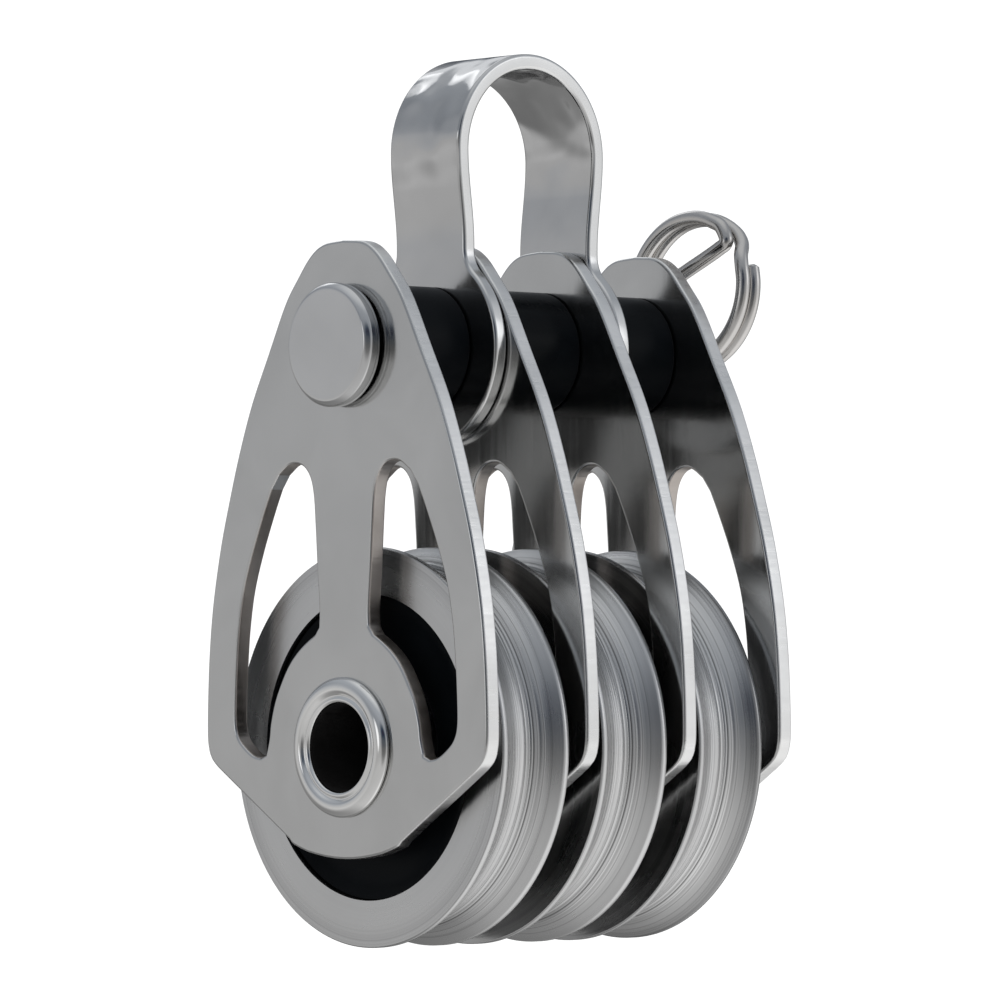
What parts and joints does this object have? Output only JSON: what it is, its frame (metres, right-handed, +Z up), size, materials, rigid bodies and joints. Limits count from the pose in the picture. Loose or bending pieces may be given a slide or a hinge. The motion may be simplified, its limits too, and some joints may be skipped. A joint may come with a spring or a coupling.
{
  "type": "triple sheave rope block",
  "caption": "Small stainless rope block: side-by-side grooved sheaves on one hollow axle between slotted cheek plates, hung from a U strap on a clevis pin.",
  "frame": {"origin": "middle of the inside of the strap's crown, where the shackle or lashing that holds the block up bears", "axes": "+X along the axle and clevis pin towards the split ring, +Y across the cheek plates, +Z up, away from the sheaves"},
  "size_m": [0.0251, 0.021, 0.045],
  "materials": {
    "polished_steel": "mirror polished stamped stainless plate",
    "rivet_steel": "polished rolled stainless tube",
    "race_steel": "ground stainless",
    "strap_steel": "polished bent stainless strip with sheared edges",
    "pin_steel": "turned and polished stainless",
    "wire_steel": "drawn spring wire",
    "turned_alloy": "fine turned, clear anodised",
    "ball_steel": "polished stainless balls",
    "black_hub": "satin black moulded acetal",
    "black_spacer": "semi-gloss black tube"
  },
  "bodies": {
    "strap": {"strap": "strap_steel"},
    "block_frame": {"cheek_outer_left": "polished_steel", "cheek_inner_left": "polished_steel", "cheek_inner_right": "polished_steel", "cheek_outer_right": "polished_steel", "axle_tube": "rivet_steel", "inner_race_left": "race_steel", "inner_race_middle": "race_steel", "inner_race_right": "race_steel", "head_spacer_left": "black_spacer", "head_spacer_middle": "black_spacer", "head_spacer_right": "black_spacer"},
    "sheave_left": {"sheave_rim_left": "turned_alloy", "sheave_hub_left": "black_hub"},
    "ball_set_left": {"ball_left_01": "ball_steel", "ball_left_02": "ball_steel", "ball_left_03": "ball_steel", "ball_left_04": "ball_steel", "ball_left_05": "ball_steel", "ball_left_06": "ball_steel", "ball_left_07": "ball_steel", "ball_left_08": "ball_steel", "ball_left_09": "ball_steel", "ball_left_10": "ball_steel", "ball_left_11": "ball_steel", "ball_left_12": "ball_steel"},
    "sheave_middle": {"sheave_rim_middle": "turned_alloy", "sheave_hub_middle": "black_hub"},
    "ball_set_middle": {"ball_middle_01": "ball_steel", "ball_middle_02": "ball_steel", "ball_middle_03": "ball_steel", "ball_middle_04": "ball_steel", "ball_middle_05": "ball_steel", "ball_middle_06": "ball_steel", "ball_middle_07": "ball_steel", "ball_middle_08": "ball_steel", "ball_middle_09": "ball_steel", "ball_middle_10": "ball_steel", "ball_middle_11": "ball_steel", "ball_middle_12": "ball_steel"},
    "sheave_right": {"sheave_rim_right": "turned_alloy", "sheave_hub_right": "black_hub"},
    "ball_set_right": {"ball_right_01": "ball_steel", "ball_right_02": "ball_steel", "ball_right_03": "ball_steel", "ball_right_04": "ball_steel", "ball_right_05": "ball_steel", "ball_right_06": "ball_steel", "ball_right_07": "ball_steel", "ball_right_08": "ball_steel", "ball_right_09": "ball_steel", "ball_right_10": "ball_steel", "ball_right_11": "ball_steel", "ball_right_12": "ball_steel"},
    "clevis_pin": {"clevis_pin": "pin_steel"},
    "split_ring": {"split_ring": "wire_steel"}
  },
  "joints": [
    {"name": "block_swing", "type": "hinge", "parent": "strap", "child": "block_frame", "pos_m": [0, 0, -0.0142], "axis": [1, 0, 0], "range_deg": [-110, 110]},
    {"name": "sheave_spin_left", "type": "hinge", "parent": "block_frame", "child": "sheave_left", "pos_m": [-0.0067, 0, -0.0342], "axis": [1, 0, 0], "continuous": true},
    {"name": "ball_orbit_left", "type": "hinge", "parent": "block_frame", "child": "ball_set_left", "pos_m": [-0.0067, 0, -0.0342], "axis": [1, 0, 0], "continuous": true},
    {"name": "sheave_spin_middle", "type": "hinge", "parent": "block_frame", "child": "sheave_middle", "pos_m": [0, 0, -0.0342], "axis": [1, 0, 0], "continuous": true},
    {"name": "ball_orbit_middle", "type": "hinge", "parent": "block_frame", "child": "ball_set_middle", "pos_m": [0, 0, -0.0342], "axis": [1, 0, 0], "continuous": true},
    {"name": "sheave_spin_right", "type": "hinge", "parent": "block_frame", "child": "sheave_right", "pos_m": [0.0067, 0, -0.0342], "axis": [1, 0, 0], "continuous": true},
    {"name": "ball_orbit_right", "type": "hinge", "parent": "block_frame", "child": "ball_set_right", "pos_m": [0.0067, 0, -0.0342], "axis": [1, 0, 0], "continuous": true},
    {"name": "pin_turn", "type": "hinge", "parent": "block_frame", "child": "clevis_pin", "pos_m": [0, 0, -0.0142], "axis": [1, 0, 0], "continuous": true},
    {"name": "ring_swing", "type": "hinge", "parent": "clevis_pin", "child": "split_ring", "pos_m": [0.01195, 0, -0.0142], "axis": [0, 0.9063, 0.4226], "range_deg": [-9, 175]}
  ],
  "couplings": [
    {"joint": "ball_orbit_left", "follows": "sheave_spin_left", "ratio": 0.62273},
    {"joint": "ball_orbit_middle", "follows": "sheave_spin_middle", "ratio": 0.62273},
    {"joint": "ball_orbit_right", "follows": "sheave_spin_right", "ratio": 0.62273}
  ]
}
